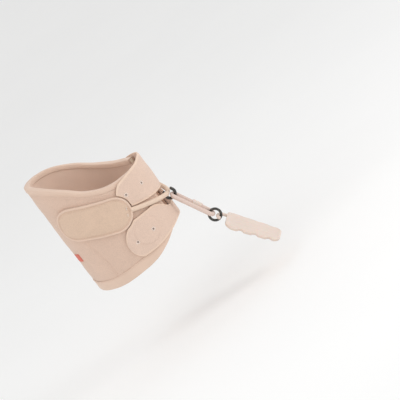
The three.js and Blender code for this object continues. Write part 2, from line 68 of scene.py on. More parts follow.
# The cuff's sewing: hem, top seam, curved side seams, bindings and tag.
HEM, TOP_SEAM, SEAM_DEPTH = 10, 7.5, 0.5
SEAM_ANGLE, SEAM_BOW, SEAM_TOP, SEAM_FROM, SEAM_TO, SEAM_ASIDE = 112, 7, 50, 12, 54, 1.6
TAPE_LIP, TAPE_BED, TAPE_PROUD, TAPE_STITCH = 4, 0.45, 0.33, 2.7
TAPE_PITCH, SEAM_PITCH, TAPE_THREAD, SEAM_THREAD = 2.7, 2.4, 0.23, 0.2
SWELL, SWELL_REACH, PUCKER, PUCKER_RATE, LINE_WIDTH = 0.3, 9, 0.07, 0.035, 0.9
TAG_SPOT = (-1, 151, 41, 0)
TAG_HALF_LONG, TAG_HALF_HIGH, TAG_INNER, TAG_OUTER = 6.2, 4.3, 0.45, 0.95

# Straps. A spot is (side, angle, height, tilt); a mark is (angle, height, radius, rise).
STRAP_ROOT, STRAP_EASE, TIP_HALF = 50, 1.6, 0.25
UPPER_FOLD, UPPER_TIP = -21, -60.6
LOWER_FOLD, LOWER_TIP = -36, -82
FOLD_REACH, FOLD_PROUD = 5.5, 2.1
UPPER_LOW, UPPER_LOW_BEND, UPPER_HIGH, UPPER_HIGH_BEND = 51.3, 0.0026, 89, 0.0013
UPPER_ARC_ANGLE, UPPER_ARC_HEIGHT, UPPER_ARC_RADIUS = 40, 65.9, 21
LOWER_LOW, LOWER_LOW_DROP, LOWER_HIGH, LOWER_HIGH_RISE, LOWER_HIGH_SLOPE = 19, 6.5, 33.2, 12.3, 0.03
LOWER_MID, LOWER_TIP_MID, LOWER_HALF = 30.2, 27, 18.2
LOWER_ROUND_START, LOWER_ROUND_POWER = 52, 3.2
UPPER_PATCH, LOWER_PATCH = (38.5, 70, 26, 16), (60.5, 28.5, 30, 22)
UPPER_MARK, LOWER_MARK = (40, 70, 12, 0.16), (56, 31, 12.3, 0.5)
UPPER_TACKS, LOWER_TACKS = ((-28, 69.5), (-52, 71)), ((-50, 29), (-71, 28))
PATCH_INNER, PATCH_OUTER = 0.3, 1.0
TACK_RAYS, TACK_START, TACK_REACH, TACK_DEPTH, TACK_THREAD = 8, 0.6, 2.4, 0.4, 0.29
TACK_PULLS = ((1.9, 0.5), (0.6, 0.35))
HOLE_RADIUS, HOLE_LIP = 0.42, 0.4
HOOK_TAPE_PITCH, HOOK_TAPE_BACKING, HOOK_TAPE_MARGIN = 1.9, 0.45, 0.9
# A prong of hook tape, as rings of (rise, lean, radius).
PRONG = ((0, 0, 0.2), (0.3, 0.02, 0.15), (0.42, 0.22, 0.08))

# Pads.
PAD_LENGTH, PAD_WIDTH, PAD_PIPING, PAD_CLEAR = 73, 35, 2.3, 1.1
PAD_ANGLE, PAD_HEIGHT, PAD_TILT = 95.4, 68.5, math.radians(20)
PAD_BASE_INNER, PAD_BASE_OUTER = 0.28, 1.2
COVER_INNER, COVER_OUTER, COVER_CROWN, COVER_SWELL = 1.5, 3.15, 0.75, 0.25
CRIMP_FROM_END, CRIMP_LENGTH, CRIMP_WIDTH, CRIMP_INNER, CRIMP_OUTER = 11.5, 14, 8, 1.55, 2.4
CRIMP_HOLLOW_LONG, CRIMP_HOLLOW_WIDE, CRIMP_HOLLOW_DEEP = 9, 6, 1.05
BAR_FORWARD, BAR_ASIDE, BAR_HALF, BAR_PITCH, BAR_THREAD = 6.2, 3.1, 1.3, 0.55, 0.24
EDGE_ROW_INSET, EDGE_ROW_PROUD, EDGE_ROW_PITCH, EDGE_ROW_THREAD = 1.8, 3.62, 2.3, 0.17

# Cords and metal.
CORD_WIDTH, CORD_PROUD, CORD_REACH = 4.6, 3.6, 57.5
CORD_APEX_HEIGHT, CORD_RISE, CORD_CURVE, CORD_SPAN = 42.8, 14, 1.4, 57
CORD_LIFT, CORD_LIFT_REACH, CORD_DIP, CORD_DIP_START = 1.9, 26, 0.7, 48
TETHER_WIDTH, TETHER_BEND = 4.3, 4.2
CORD_SQUEEZED, TETHER_SQUEEZED = 3.6, 3.3
SQUEEZE_START, SQUEEZE_END = 1.8, 4.2
CARRIERS, CORD_PLAIT, TETHER_PLAIT, PLAIT_DEPTH, PLAIT_SINK = 6, 7.5, 7.0, 0.1, 0.04
HOOK_CENTRE, RING_CENTRE = Vector((58.5, 0, 41.2)), Vector((81.9, 0, -0.4))
HOOK_WIRE, HOOK_INNER, HOOK_EXTRA, HOOK_MOUTH = 3, 7, 0.8, 3.4
MOUTH_TURN = math.radians(-30)
RING_OUTER, RING_WIRE = 14.2, 2.6
SLEEVE_SHARE, SLEEVE_CLEAR, SLEEVE_WALL, SLEEVE_CRIMP, SLEEVE_CRIMP_AT = 0.62, 0.12, 0.95, 0.28, 2.2
TOUCH_GAP = 0.3
PULL = (RING_CENTRE - HOOK_CENTRE).normalized()
REAR = Vector((PULL.z, 0, -PULL.x))

# The plate for under the laces.
INSERT_SLOPE = math.radians(52.8)
INSERT_LENGTH, INSERT_TOP_WIDTH, INSERT_TOE_WIDTH = 54, 40, 33
INSERT_THICK, INSERT_NECK, INSERT_WIRE, INSERT_HOOK_ASIDE, INSERT_HOOK_REACH = 2, 8.5, 3.2, 7, 6
INSERT_CORNER, INSERT_FLAT_HALF, INSERT_DROOP = 9, 11, 0.022
NOTCHES, NOTCH_HALF, NOTCH_DEPTH = (16, 30, 44), 3.5, 2.2
BEAD_RISE, BEAD_INSET, RIB_RISE, RIB_ASIDE = 0.35, 1.6, 0.3, 5.5

# Camera, held at the tilt at which the leg is lifted. Lamp directions are (away, top, side).
VIEW_TURN, VIEW_RISE, VIEW_ROLL = math.radians(16), math.radians(13), math.radians(36.5)
VIEW_DISTANCE, VIEW_WIDTH, SENSOR = 4.0, 0.38, 36
VIEW_POINT = Vector((0, 0, 0.041))
VIEW_ASIDE, VIEW_ABOVE = 0.076, 0.024
SKY_STRENGTH = 0.80
FLOOR_REACH, FLOOR_HEIGHT = 6, -0.075
LAMPS = (
    {"name": "key_lamp", "direction": (0.6, 1.0, 0.7), "distance": 1.1, "size": 0.5, "power": 2.4},
    {"name": "fill_lamp", "direction": (1.0, 0, -1.0), "distance": 1.3, "size": 1.2, "power": 3.0},
    {"name": "rim_lamp", "direction": (-0.5, 0.8, 0.9), "distance": 1.2, "size": 0.7, "power": 1.5},
)

CUFF_BEIGE = (0.735, 0.540, 0.432)
STRAP_BEIGE = (0.752, 0.566, 0.462)
# Pale cut edge of the straps: partly the edge's own colour, partly a painted highlight where the rounded edge
# catches light.
CUT_EDGE_AND_HIGHLIGHT = (0.880, 0.680, 0.530)
PAD_BEIGE = (0.725, 0.535, 0.408)
TAPE_BEIGE = (0.775, 0.580, 0.462)
FOAM_CREAM = (0.80, 0.70, 0.56)
NYLON_CREAM = (0.78, 0.66, 0.56)
CORD_CREAM = (0.790, 0.610, 0.480)
TETHER_PINK = (0.750, 0.592, 0.522)
PLATE_PINK = (0.740, 0.610, 0.530)
THREAD_PALE = (0.94, 0.85, 0.79)
# Dark brown of the needle holes: painted shade where each hole is in shadow.
HOLE_SHADOW_BROWN = (0.16, 0.09, 0.06)
CORAL = (0.72, 0.17, 0.12)
GUNMETAL, RUBBED_METAL = (0.050, 0.047, 0.043), (0.110, 0.095, 0.080)
ALLOY_DULL, ALLOY_BRIGHT = (0.42, 0.40, 0.37), (0.66, 0.63, 0.59)
PAPER_DULL, PAPER_BRIGHT = (0.96, 0.96, 0.955), (0.99, 0.99, 0.985)


# ---------------------------------------------------------------- camera, floor and light

def aim(thing, towards, up):
    """Turns a camera or lamp so that it looks along a direction with its top towards up."""
    back = -towards.normalized()
    side = up.cross(back).normalized()
    top = back.cross(side)
    thing.matrix_world = Matrix((
        (side.x, top.x, back.x, thing.location.x),
        (side.y, top.y, back.y, thing.location.y),
        (side.z, top.z, back.z, thing.location.z),
        (0, 0, 0, 1),
    ))


def stand(name, data):
    """A new object in the scene."""
    obj = bpy.data.objects.new(name, data)
    bpy.context.scene.collection.objects.link(obj)
    return obj


def place_camera():
    away = Vector((
        math.sin(VIEW_TURN) * math.cos(VIEW_RISE),
        -math.cos(VIEW_TURN) * math.cos(VIEW_RISE),
        math.sin(VIEW_RISE),
    ))
    level = Vector((math.cos(VIEW_TURN), math.sin(VIEW_TURN), 0))
    lift = away.cross(level)
    side = level * math.cos(VIEW_ROLL) - lift * math.sin(VIEW_ROLL)
    top = level * math.sin(VIEW_ROLL) + lift * math.cos(VIEW_ROLL)
    lens = bpy.data.cameras.new("camera")
    lens.sensor_width = SENSOR
    lens.lens = SENSOR * VIEW_DISTANCE / VIEW_WIDTH
    camera = stand("camera", lens)
    camera.location = VIEW_POINT + side * VIEW_ASIDE + top * VIEW_ABOVE + away * VIEW_DISTANCE
    aim(camera, -away, top)
    bpy.context.scene.camera = camera
    return away, top, side


def studio():
    axes = place_camera()
    for spec in LAMPS:
        lamp = bpy.data.lights.new(spec["name"], "AREA")
        lamp.shape = "DISK"
        lamp.size = spec["size"]
        lamp.energy = spec["power"]
        direction = sum((axis * share for axis, share in zip(axes, spec["direction"])), Vector())
        obj = stand(spec["name"], lamp)
        obj.location = VIEW_POINT + direction.normalized() * spec["distance"]
        aim(obj, -direction, Vector((0.1, 0.2, 1)))

    bpy.context.scene.view_settings.view_transform = "Standard"
    world = bpy.data.worlds.new("studio")
    bpy.context.scene.world = world
    world.use_nodes = True
    sky = world.node_tree.nodes["Background"]
    sky.inputs["Color"].default_value = (1, 1, 1, 1)
    sky.inputs["Strength"].default_value = SKY_STRENGTH

    mesh = bpy.data.meshes.new("floor")
    square = ((-1, -1), (1, -1), (1, 1), (-1, 1))
    corners = [(x * FLOOR_REACH, y * FLOOR_REACH, FLOOR_HEIGHT) for x, y in square]
    mesh.from_pydata(corners, [], [(0, 1, 2, 3)])
    floor = stand("floor", mesh)
    paper = Finish("floor_paper", {"Roughness": 0.9, "Specular IOR Level": 0.1})
    grain = paper.blend(paper.noise(6, 2), PAPER_DULL, PAPER_BRIGHT)
    mesh.materials.append(paper.surface({"Base Color": grain}))


# ---------------------------------------------------------------- finishes

class Tone:
    """A shader output that takes arithmetic, so that a pattern is written as an expression."""

    def __init__(self, finish, socket):
        self.finish = finish
        self.socket = socket

    def _with(self, kind, other):
        return self.finish.node("ShaderNodeMath", {"operation": kind}, {0: self, 1: other})

    def __add__(self, other):
        return self._with("ADD", other)

    def __mul__(self, other):
        return self._with("MULTIPLY", other)

    __radd__ = __add__
    __rmul__ = __mul__


class Finish:
    """One material. Its pattern nodes come from node(), and its constants sit on the shader's own sockets."""

    # Where the Mix node keeps its colour sockets.
    MIX_SHARE, MIX_LOW, MIX_HIGH, MIX_RESULT = 0, 6, 7, 2

    def __init__(self, name, constants):
        self.material = bpy.data.materials.new(name)
        self.material.use_nodes = True
        self.tree = self.material.node_tree
        self.shader = self.tree.nodes["Principled BSDF"]
        for socket, value in constants.items():
            self.shader.inputs[socket].default_value = value

    def node(self, kind, settings=None, values=None, output=0):
        made = self.tree.nodes.new(kind)
        for key, value in (settings or {}).items():
            setattr(made, key, value)
        for key, value in (values or {}).items():
            self.feed(made.inputs[key], value)
        return Tone(self, made.outputs[output])

    def feed(self, socket, value):
        if isinstance(value, Tone):
            self.tree.links.new(value.socket, socket)
        elif isinstance(value, tuple) and socket.type == "RGBA":
            socket.default_value = (*value[:3], 1)
        else:
            socket.default_value = value

    def place(self):
        return self.node("ShaderNodeTexCoord", output="Object")

    def noise(self, scale, detail=2, rough=0.5):
        values = {"Vector": self.place(), "Scale": scale, "Detail": detail, "Roughness": rough}
        return self.node("ShaderNodeTexNoise", None, values)

    def cells(self, scale):
        values = {"Vector": self.place(), "Scale": scale}
        return self.node("ShaderNodeTexVoronoi", {"feature": "F1"}, values)

    def sine(self, value):
        return self.node("ShaderNodeMath", {"operation": "SINE"}, {0: value}) * 0.5 + 0.5

    def turn_and_height(self):
        """The angle round the leg and the height up it."""
        place = self.place()
        x, y, height = (self.node("ShaderNodeSeparateXYZ", None, {0: place}, axis) for axis in "XYZ")
        return self.node("ShaderNodeMath", {"operation": "ARCTAN2"}, {0: y, 1: x}), height

    def painted(self, name):
        return self.node("ShaderNodeAttribute", {"attribute_name": name}, None, "Fac")

    def blend(self, share, low, high):
        values = {self.MIX_SHARE: share, self.MIX_LOW: low, self.MIX_HIGH: high}
        return self.node("ShaderNodeMix", {"data_type": "RGBA"}, values, self.MIX_RESULT)

    def range(self, value, low, high, to_low, to_high):
        values = {"Value": value, "From Min": low, "From Max": high, "To Min": to_low, "To Max": to_high}
        return self.node("ShaderNodeMapRange", {"interpolation_type": "SMOOTHSTEP"}, values)

    def relief(self, height, depth, strength):
        return self.node("ShaderNodeBump", None, {"Height": height, "Distance": depth, "Strength": strength})

    def shaded(self, share, color, dark, light):
        """Varies between a darker and a lighter shade of one colour."""
        return self.blend(share, shade(color, dark), shade(color, light))

    def surface(self, values):
        for key, value in values.items():
            self.feed(self.shader.inputs[key], value)
        return self.material

    def dress(self, base, gloss, rough, height, depth, strength, spread=(0.3, 0.7), coat=0.0):
        """Colour, roughness between two values by the gloss pattern, relief by the height, and coat."""
        return self.surface({
            "Base Color": base,
            "Roughness": self.range(gloss, *spread, *rough),
            "Coat Weight": coat,
            "Normal": self.relief(height, depth, strength),
        })


def shade(color, amount):
    return tuple(min(1, c * amount) for c in color)


def brushed_loop(name, color, nap, cut_edge_and_highlight=None):
    """Loop cloth with a brushed nap: pebbled loops, worn flat in places, and paler along a cut edge, partly
    the edge's own colour and partly a painted highlight where the rounded edge catches light.
    """
    finish = Finish(name, {
        "Sheen Weight": 0.3, "Sheen Roughness": 0.45, "Sheen Tint": (1, 0.93, 0.88, 1),
        "Specular IOR Level": 0.15,
    })
    loops = finish.cells(1150)
    fuzz = finish.noise(2300, 3, 0.65)
    nap_lay = finish.noise(190, 4, 0.6)
    cloud = finish.noise(24, 3, 0.55)
    worn = finish.range(finish.noise(60, 3), 0.5, 0.72, 0, 1)
    tone = cloud * 0.45 + nap_lay * 0.35 + fuzz * 0.2
    base = finish.shaded(tone, color, 0.89, 1.1)
    pits = finish.range(loops, 0.25, 0.75, 0, 1)
    pitted = finish.blend(pits * 0.28, base, shade(color, 0.72))
    shown = finish.blend(worn * 0.16, pitted, shade(color, 1.16))
    # The pale edge is partly the cut edge's own colour and partly a painted highlight of the rounded edge.
    if cut_edge_and_highlight:
        shown = finish.blend(finish.painted("rim") * 0.6, shown, cut_edge_and_highlight)
    height = loops * -0.5 + fuzz * 0.7 + nap_lay * 0.8
    return finish.dress(shown, nap_lay, (0.86, 0.98), height, 0.00042 * nap, 0.75)


def knit(name, color):
    """Fine knitted lining: ribs up the leg, crossed by rows of stitches."""
    finish = Finish(name, {"Sheen Weight": 0.2, "Specular IOR Level": 0.2})
    turn, height = finish.turn_and_height()
    ribs = finish.sine(turn * 300)
    rows = finish.sine(height * 6800 + ribs * 2.2)
    cloud = finish.noise(30, 3)
    stitch = ribs * 0.6 + rows * 0.4
    base = finish.shaded(stitch * 0.55 + cloud * 0.45, color, 0.8, 1.1)
    return finish.dress(base, cloud, (0.82, 0.95), stitch, 0.0003, 0.8)


def ribbed_tape(name, color):
    """Stretch tape: fine cords along its length and a roughness that varies with its grain."""
    finish = Finish(name, {"Sheen Weight": 0.2, "Specular IOR Level": 0.25})
    turn, height = finish.turn_and_height()
    grain = finish.noise(900, 3)
    cloud = finish.noise(45, 2)
    weave = finish.sine(turn * 420) * 0.5 + finish.sine(height * 9000) * 0.2 + grain * 0.3
    base = finish.shaded(weave * 0.5 + cloud * 0.5, color, 0.86, 1.08)
    return finish.dress(base, grain, (0.72, 0.9), weave, 0.00022, 0.7)


def open_foam(name, color):
    """Open-cell foam, pitted with pores."""
    finish = Finish(name, {"Specular IOR Level": 0.1})
    pores = finish.range(finish.cells(900), 0.1, 0.55, 0, 1)
    cloud = finish.noise(60, 3)
    base = finish.shaded(pores * 0.6 + cloud * 0.4, color, 0.82, 1.05)
    return finish.dress(base, cloud, (0.88, 0.98), pores, 0.0004, 0.8)


def braid(name, color):
    """Braided elastic. The mesh carries the plaits; the yarn's own strands are added here."""
    finish = Finish(name, {"Sheen Weight": 0.15, "Specular IOR Level": 0.3})
    plait = finish.painted("plait")
    strands = finish.noise(2600, 2)
    cloud = finish.noise(90, 3)
    base = finish.shaded(plait * 0.5 + strands * 0.2 + cloud * 0.3, color, 0.70, 1.14)
    return finish.dress(base, strands, (0.62, 0.82), strands * 0.5 + plait, 0.00018, 0.7)


def dark_plating(name):
    """Gunmetal plating, a little brown where it has rubbed, with fine scratches."""
    finish = Finish(name, {"Metallic": 1.0, "IOR": 1.6, "Coat Roughness": 0.05})
    rub = finish.range(finish.noise(240, 4, 0.6), 0.48, 0.7, 0, 1)
    scratches = finish.range(finish.noise(1500, 2, 0.8), 0.6, 0.75, 0, 1)
    base = finish.blend(rub, GUNMETAL, RUBBED_METAL)
    coat = finish.range(rub, 0, 1, 0.75, 0.3)
    return finish.dress(base, rub + scratches * 0.5, (0.14, 0.38), scratches, 0.00004, 0.5, (0, 1.2), coat)


def crimp_alloy(name):
    """Soft pale alloy, dull where it was pressed."""
    finish = Finish(name, {"Metallic": 1.0})
    grain = finish.noise(700, 3, 0.7)
    return finish.dress(finish.blend(grain, ALLOY_DULL, ALLOY_BRIGHT), grain, (0.3, 0.5), grain, 0.00005, 0.6)


def satin_plastic(name, color):
    """Moulded plastic with a fine spark texture and faint flow marks."""
    finish = Finish(name, {"IOR": 1.49, "Subsurface Weight": 0.08, "Subsurface Scale": 0.002})
    spark = finish.noise(2100, 3, 0.7)
    flow = finish.noise(38, 3, 0.6)
    scuff = finish.range(finish.noise(420, 4, 0.7), 0.58, 0.72, 0, 1)
    base = finish.shaded(flow * 0.7 + scuff * 0.3, color, 0.94, 1.07)
    return finish.dress(base, spark * 0.5 + scuff * 0.5, (0.36, 0.55), spark, 0.00006, 0.5, (0.1, 0.8))


def sewing_thread(name, color):
    """Twisted thread with a slight gloss."""
    finish = Finish(name, {"Sheen Weight": 0.2, "Specular IOR Level": 0.35})
    ply = finish.noise(3200, 2)
    return finish.dress(finish.shaded(ply, color, 0.84, 1.1), ply, (0.5, 0.7), ply, 0.0001, 0.6)


# ---------------------------------------------------------------- the shape of the cuff

def lerp(a, b, t):
    return a + (b - a) * t


def clamp(x, low=0.0, high=1.0):
    return min(max(x, low), high)


def smooth(x, low, high):
    t = clamp((x - low) / (high - low))
    return t * t * (3 - 2 * t)


def hill(x, width):
    return math.exp(-((x / width) ** 2))


def half_chord(radius, away):
    """Half the width of a circle at a distance from its centre."""
    return math.sqrt(max(0, radius ** 2 - away ** 2))


def arc_mm(angle):
    """Distance round the cuff that an angle spans."""
    return angle * ARC_RADIUS * math.pi / 180


def arc_degrees(distance):
    return math.degrees(distance / ARC_RADIUS)


def edge_height(points, away):
    """Height of an edge at so many degrees from the back, on a smooth curve through its few points."""
    last = len(points) - 1
    i = 1
    while i < last and away > points[i][0]:
        i += 1

    def slope(k):
        if k == 0:
            return 0
        low, high = points[k - 1], points[min(k + 1, last)]
        return (high[1] - low[1]) / (high[0] - low[0])

    (x1, y1), (x2, y2) = points[i - 1], points[i]
    t = (away - x1) / (x2 - x1)
    share = 3 * t * t - 2 * t ** 3
    bow = slope(i - 1) * t * (1 - t) ** 2 - slope(i) * t * t * (1 - t)
    return y1 + (y2 - y1) * share + (x2 - x1) * bow


def top_edge(angle):
    return edge_height(TOP_EDGE, abs(angle - BACK))


def low_edge(angle):
    return edge_height(LOW_EDGE, abs(angle - BACK))


def give(angle, height):
    """How far padded cloth stands off its drawn surface: long soft waves, shared by all that lies on it."""
    t = math.radians(angle)
    spot = Vector((math.cos(t), math.sin(t), height / GIVE_HEIGHT))
    return sum(depth * noise.noise(spot * rate) for rate, depth in GIVE_WAVES)


def on_cuff(angle, height, proud):
    """A point at an angle and a height, standing proud of the outer cloth along its outward normal."""
    t = math.radians(angle)
    depth = HALF_DEPTH + FLARE * height
    width = HALF_WIDTH + FLARE * height
    out = Vector((math.cos(t) / depth, math.sin(t) / width)).normalized()
    reach = proud + give(angle, height)
    return Vector((depth * math.cos(t) + out.x * reach, width * math.sin(t) + out.y * reach, height))


def outward(angle):
    t = math.radians(angle)
    return Vector((math.cos(t) / HALF_DEPTH, math.sin(t) / HALF_WIDTH, 0)).normalized()


def spot_on(spot, s, t, proud):
    """A point on a patch laid on the cuff: s towards the toes, t across, turned down in front by its tilt."""
    side, angle, height, tilt = spot
    forward = s * math.cos(tilt) + t * math.sin(tilt)
    up = t * math.cos(tilt) - s * math.sin(tilt)
    return on_cuff(side * (angle - arc_degrees(forward)), height + up, proud)


def spot_and_out(spot, s, t, proud):
    """A point on a patch and its outward direction."""
    place = spot_on(spot, s, t, proud)
    return place, (spot_on(spot, s, t, proud + 1) - place).normalized()


# ---------------------------------------------------------------- mesh making

def new_piece(name, points, faces, finish):
    mesh = bpy.data.meshes.new(name)
    mesh.from_pydata([p * MM for p in points], [], faces)
    mesh.update()
    work = bmesh.new()
    work.from_mesh(mesh)
    bmesh.ops.remove_doubles(work, verts=work.verts, dist=1e-6)
    bmesh.ops.recalc_face_normals(work, faces=work.faces)
    work.to_mesh(mesh)
    work.free()
    mesh.polygons.foreach_set("use_smooth", [True] * len(mesh.polygons))
    mesh.materials.append(finish)
    return stand(name, mesh)


def settle(obj, kind, settings):
    """Adds a modifier and applies it, so that the mesh itself is final."""
    modifier = obj.modifiers.new(kind.lower(), kind)
    for key, value in settings.items():
        setattr(modifier, key, value)
    bpy.context.view_layer.update()
    made = bpy.data.meshes.new_from_object(obj.evaluated_get(bpy.context.evaluated_depsgraph_get()))
    obj.modifiers.clear()
    obj.data = made
    made.polygons.foreach_set("use_smooth", [True] * len(made.polygons))
    return obj


def soften(obj, width, segments, angle):
    """Rounds each edge that turns by more than an angle."""
    settings = {"width": width * MM, "segments": segments, "limit_method": "ANGLE", "angle_limit": angle}
    return settle(obj, "BEVEL", settings)


def paint(obj, name, marks):
    layer = obj.data.attributes.new(name, "FLOAT", "POINT")
    layer.data.foreach_set("value", marks)


def thick_sheet(name, cols, rows, face, finish, edge):
    """A closed sheet. face(u, v, side) gives its outer face for side 1 and its inner face for side 0."""
    points, faces = [], []
    for side in (1, 0):
        for i in range(cols + 1):
            for j in range(rows + 1):
                points.append(face(i / cols, j / rows, side))
    row = rows + 1
    inner = (cols + 1) * row
    for i in range(cols):
        for j in range(rows):
            a = i * row + j
            faces.append((a, a + row, a + row + 1, a + 1))
            faces.append((inner + a, inner + a + 1, inner + a + row + 1, inner + a + row))
    border = [(i * row + j, row) for i in range(cols) for j in (0, rows)]
    border += [(i * row + j, 1) for j in range(rows) for i in (0, cols)]
    faces += [(a, a + step, inner + a + step, inner + a) for a, step in border]
    return soften(new_piece(name, points, faces, finish), edge, 3, 0.8)


def ring_faces(first, rings, size, closed=False):
    """Faces between rings of points that follow each other, capped at the ends or closed on themselves."""
    faces = []
    for i in range(rings if closed else rings - 1):
        here, there = first + i * size, first + (i + 1) % rings * size
        for k in range(size):
            after = (k + 1) % size
            faces.append((here + k, here + after, there + after, there + k))
    if not closed:
        last = first + (rings - 1) * size
        faces.append(tuple(range(first + size - 1, first - 1, -1)))
        faces.append(tuple(range(last, last + size)))
    return faces


def circle(centre, one, other, radius, steps):
    turns = (2 * math.pi * k / steps for k in range(steps))
    return [centre + (one * math.cos(turn) + other * math.sin(turn)) * radius for turn in turns]


def run_length(path):
    return sum((b - a).length for a, b in zip(path, path[1:]))


def frames_along(path, closed):
    """A normal and a binormal at each point of a path, carried along it without twist."""
    count = len(path)
    ways = []
    for i in range(count):
        before = path[i - 1] if closed or i else path[0]
        after = path[(i + 1) % count] if closed or i < count - 1 else path[-1]
        ways.append((after - before).normalized())
    side = ways[0].orthogonal().normalized()
    found = []
    for i, way in enumerate(ways):
        if i:
            side = ways[i - 1].rotation_difference(way) @ side
            side = (side - way * side.dot(way)).normalized()
        found.append((side.copy(), way.cross(side)))
    if closed:
        turned = ways[-1].rotation_difference(ways[0]) @ found[-1][0]
        slip = math.atan2(turned.dot(found[0][1]), turned.dot(found[0][0]))
        for i, way in enumerate(ways):
            twist = Quaternion(way, -slip * i / count)
            found[i] = (twist @ found[i][0], twist @ found[i][1])
    return found


def tube(name, path, radius, finish, sides, closed=False, surface=None, tint=None):
    """A round tube along a path. surface(length along, turn) gives a relief in millimetres."""
    points, marks = [], []
    run = 0.0
    for i, (side, across) in enumerate(frames_along(path, closed)):
        if i:
            run += (path[i] - path[i - 1]).length
        for k in range(sides):
            turn = 2 * math.pi * k / sides
            relief = surface(run, turn) if surface else 0
            points.append(path[i] + (side * math.cos(turn) + across * math.sin(turn)) * (radius + relief))
            marks.append(tint(run, turn) if tint else 0)
    obj = new_piece(name, points, ring_faces(0, len(path), sides, closed), finish)
    if tint:
        paint(obj, "plait", marks)
    return obj


def smooth_path(points, step, closed=False):
    """Points every step along a smooth curve through the given ones."""
    count = len(points)
    found = []
    for i in range(count if closed else count - 1):
        near = (i + k for k in (-1, 0, 1, 2))
        p0, p1, p2, p3 = (points[k % count if closed else clamp(k, 0, count - 1)] for k in near)
        parts = max(1, round((p2 - p1).length / step))
        for k in range(parts):
            t = k / parts
            a = p1 * 2 + (p2 - p0) * t
            b = (p0 * 2 - p1 * 5 + p2 * 4 - p3) * t * t
            c = (p1 * 3 - p0 - p2 * 3 + p3) * t ** 3
            found.append((a + b + c) / 2)
    if not closed:
        found.append(points[-1])
    return found


def join_pieces(name, pieces):
    """One object from many small ones that share a finish."""
    work = bmesh.new()
    for piece in pieces:
        work.from_mesh(piece.data)
    mesh = bpy.data.meshes.new(name)
    work.to_mesh(mesh)
    work.free()
    mesh.materials.append(pieces[0].data.materials[0])
    for piece in pieces:
        bpy.data.objects.remove(piece)
    mesh.polygons.foreach_set("use_smooth", [True] * len(mesh.polygons))
    return stand(name, mesh)


def stitches(name, at, start, end, pitch, finish, thread, rise=0.22, fill=0.72):
    """A row of stitches. at(x) gives a point on the cloth and its outward direction, x in millimetres."""
    points, faces = [], []
    sides, parts, sunk, ahead_by = 6, 6, 0.12, 0.05
    count = max(1, int(abs(end - start) / pitch))
    for n in range(count):
        low = lerp(start, end, n / count)
        high = low + (end - start) / count * fill
        faces += ring_faces(len(points), parts + 1, sides)
        for i in range(parts + 1):
            share = i / parts
            spot, out = at(lerp(low, high, share))
            ahead, _ = at(lerp(low, high, share) + math.copysign(ahead_by, end - start))
            across = (ahead - spot).normalized().cross(out).normalized()
            arch = math.sin(math.pi * share)
            fat = thread * (0.35 + 0.65 * arch ** 0.5)
            points += circle(spot + out * (rise * arch - sunk), across, out, fat, sides)
    return new_piece(name, points, faces, finish)


def finish_piece(obj, body, slot, *nodes):
    """Attaches a piece to the body that it rides on and hides the solids that it stands for. The slot is not
    used.
    """
    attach(obj, body)
    if nodes:
        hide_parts(*nodes)


# ---------------------------------------------------------------- cuff body

def body_angle(u):
    return lerp(NEAR_EDGE, FAR_EDGE, u)


def panel_seam(height):
    """Angle of the curved seam below each pad, counted from the toes."""
    return SEAM_ANGLE + SEAM_BOW * smooth(height, 18, 56)


def cloth_relief(angle, height):
    """Sewn lines pull the cloth in, and the foam swells it between them."""
    from_low = height - low_edge(angle)
    from_top = top_edge(angle) - height
    from_back = min(abs(angle - BACK), 180)
    off_seam = arc_mm(from_back - (180 - panel_seam(height)))
    below_pad = 1 - smooth(height, SEAM_TOP, SEAM_TOP + 12)
    line = 0.5 * hill(from_top - TOP_SEAM, LINE_WIDTH) + below_pad * hill(off_seam, 0.8)
    swell = smooth(from_low, HEM, HEM + SWELL_REACH) * smooth(from_top, TOP_SEAM, TOP_SEAM + SWELL_REACH)
    pull = hill(from_low - HEM - 1, 2.5) + hill(from_top - TOP_SEAM, 3)
    puckers = PUCKER * math.sin(angle * ARC_RADIUS * PUCKER_RATE) * pull
    under_tape = 1 - smooth(from_low, HEM - 0.2, HEM + 0.5) * smooth(from_top, TAPE_LIP - 0.1, TAPE_LIP + 0.5)
    return lerp(SWELL * swell + puckers - SEAM_DEPTH * line, -TAPE_BED, under_tape)


def cuff_layer(name, node, slot, inner, outer, finish, cols, rows, relief=None):
    def face(u, v, side):
        angle = body_angle(u)
        height = lerp(low_edge(angle), top_edge(angle), v)
        if not side:
            return on_cuff(angle, height, inner)
        return on_cuff(angle, height, outer + (relief(angle, height) if relief else 0))

    layer = thick_sheet(name, cols, rows, face, finish, 0.2)
    finish_piece(layer, "cuff", slot, node)
    return layer


def folded_tape(name, node, finish, steps, place, lip=TAPE_LIP):
    """Tape folded over an edge: x stands proud of the cloth, y runs beyond the edge."""
    section = (
        (-0.28, -lip), (0.05, -lip - 0.2), (0.27, -lip + 0.1), (TAPE_PROUD, -lip + 1.2), (TAPE_PROUD, -1.0),
        (0.34, 0.1), (0.2, 0.6), (-0.2, 0.85), (-0.9, 0.95), (-4.8, 0.95), (-5.6, 0.8), (-6.0, 0.45),
        (-6.1, -0.1), (-6.1, -3.9), (-5.9, -4.15), (-5.55, -4.0), (-5.5, 0.05), (-5.3, 0.25), (-0.5, 0.25),
        (-0.28, 0.0),
    )
    points = [place(x, y, i / steps) for i in range(steps + 1) for x, y in section]
    faces = ring_faces(0, steps + 1, len(section))
    tape = soften(new_piece(name, points, faces, finish), 0.12, 2, 1.0)
    finish_piece(tape, "cuff", "edge_tape", node)


def edge_wander(angle):
    """How far a hand-fed tape strays from the edge."""
    return 0.22 * noise.noise(Vector((angle * 0.09, 3.1, 0)))


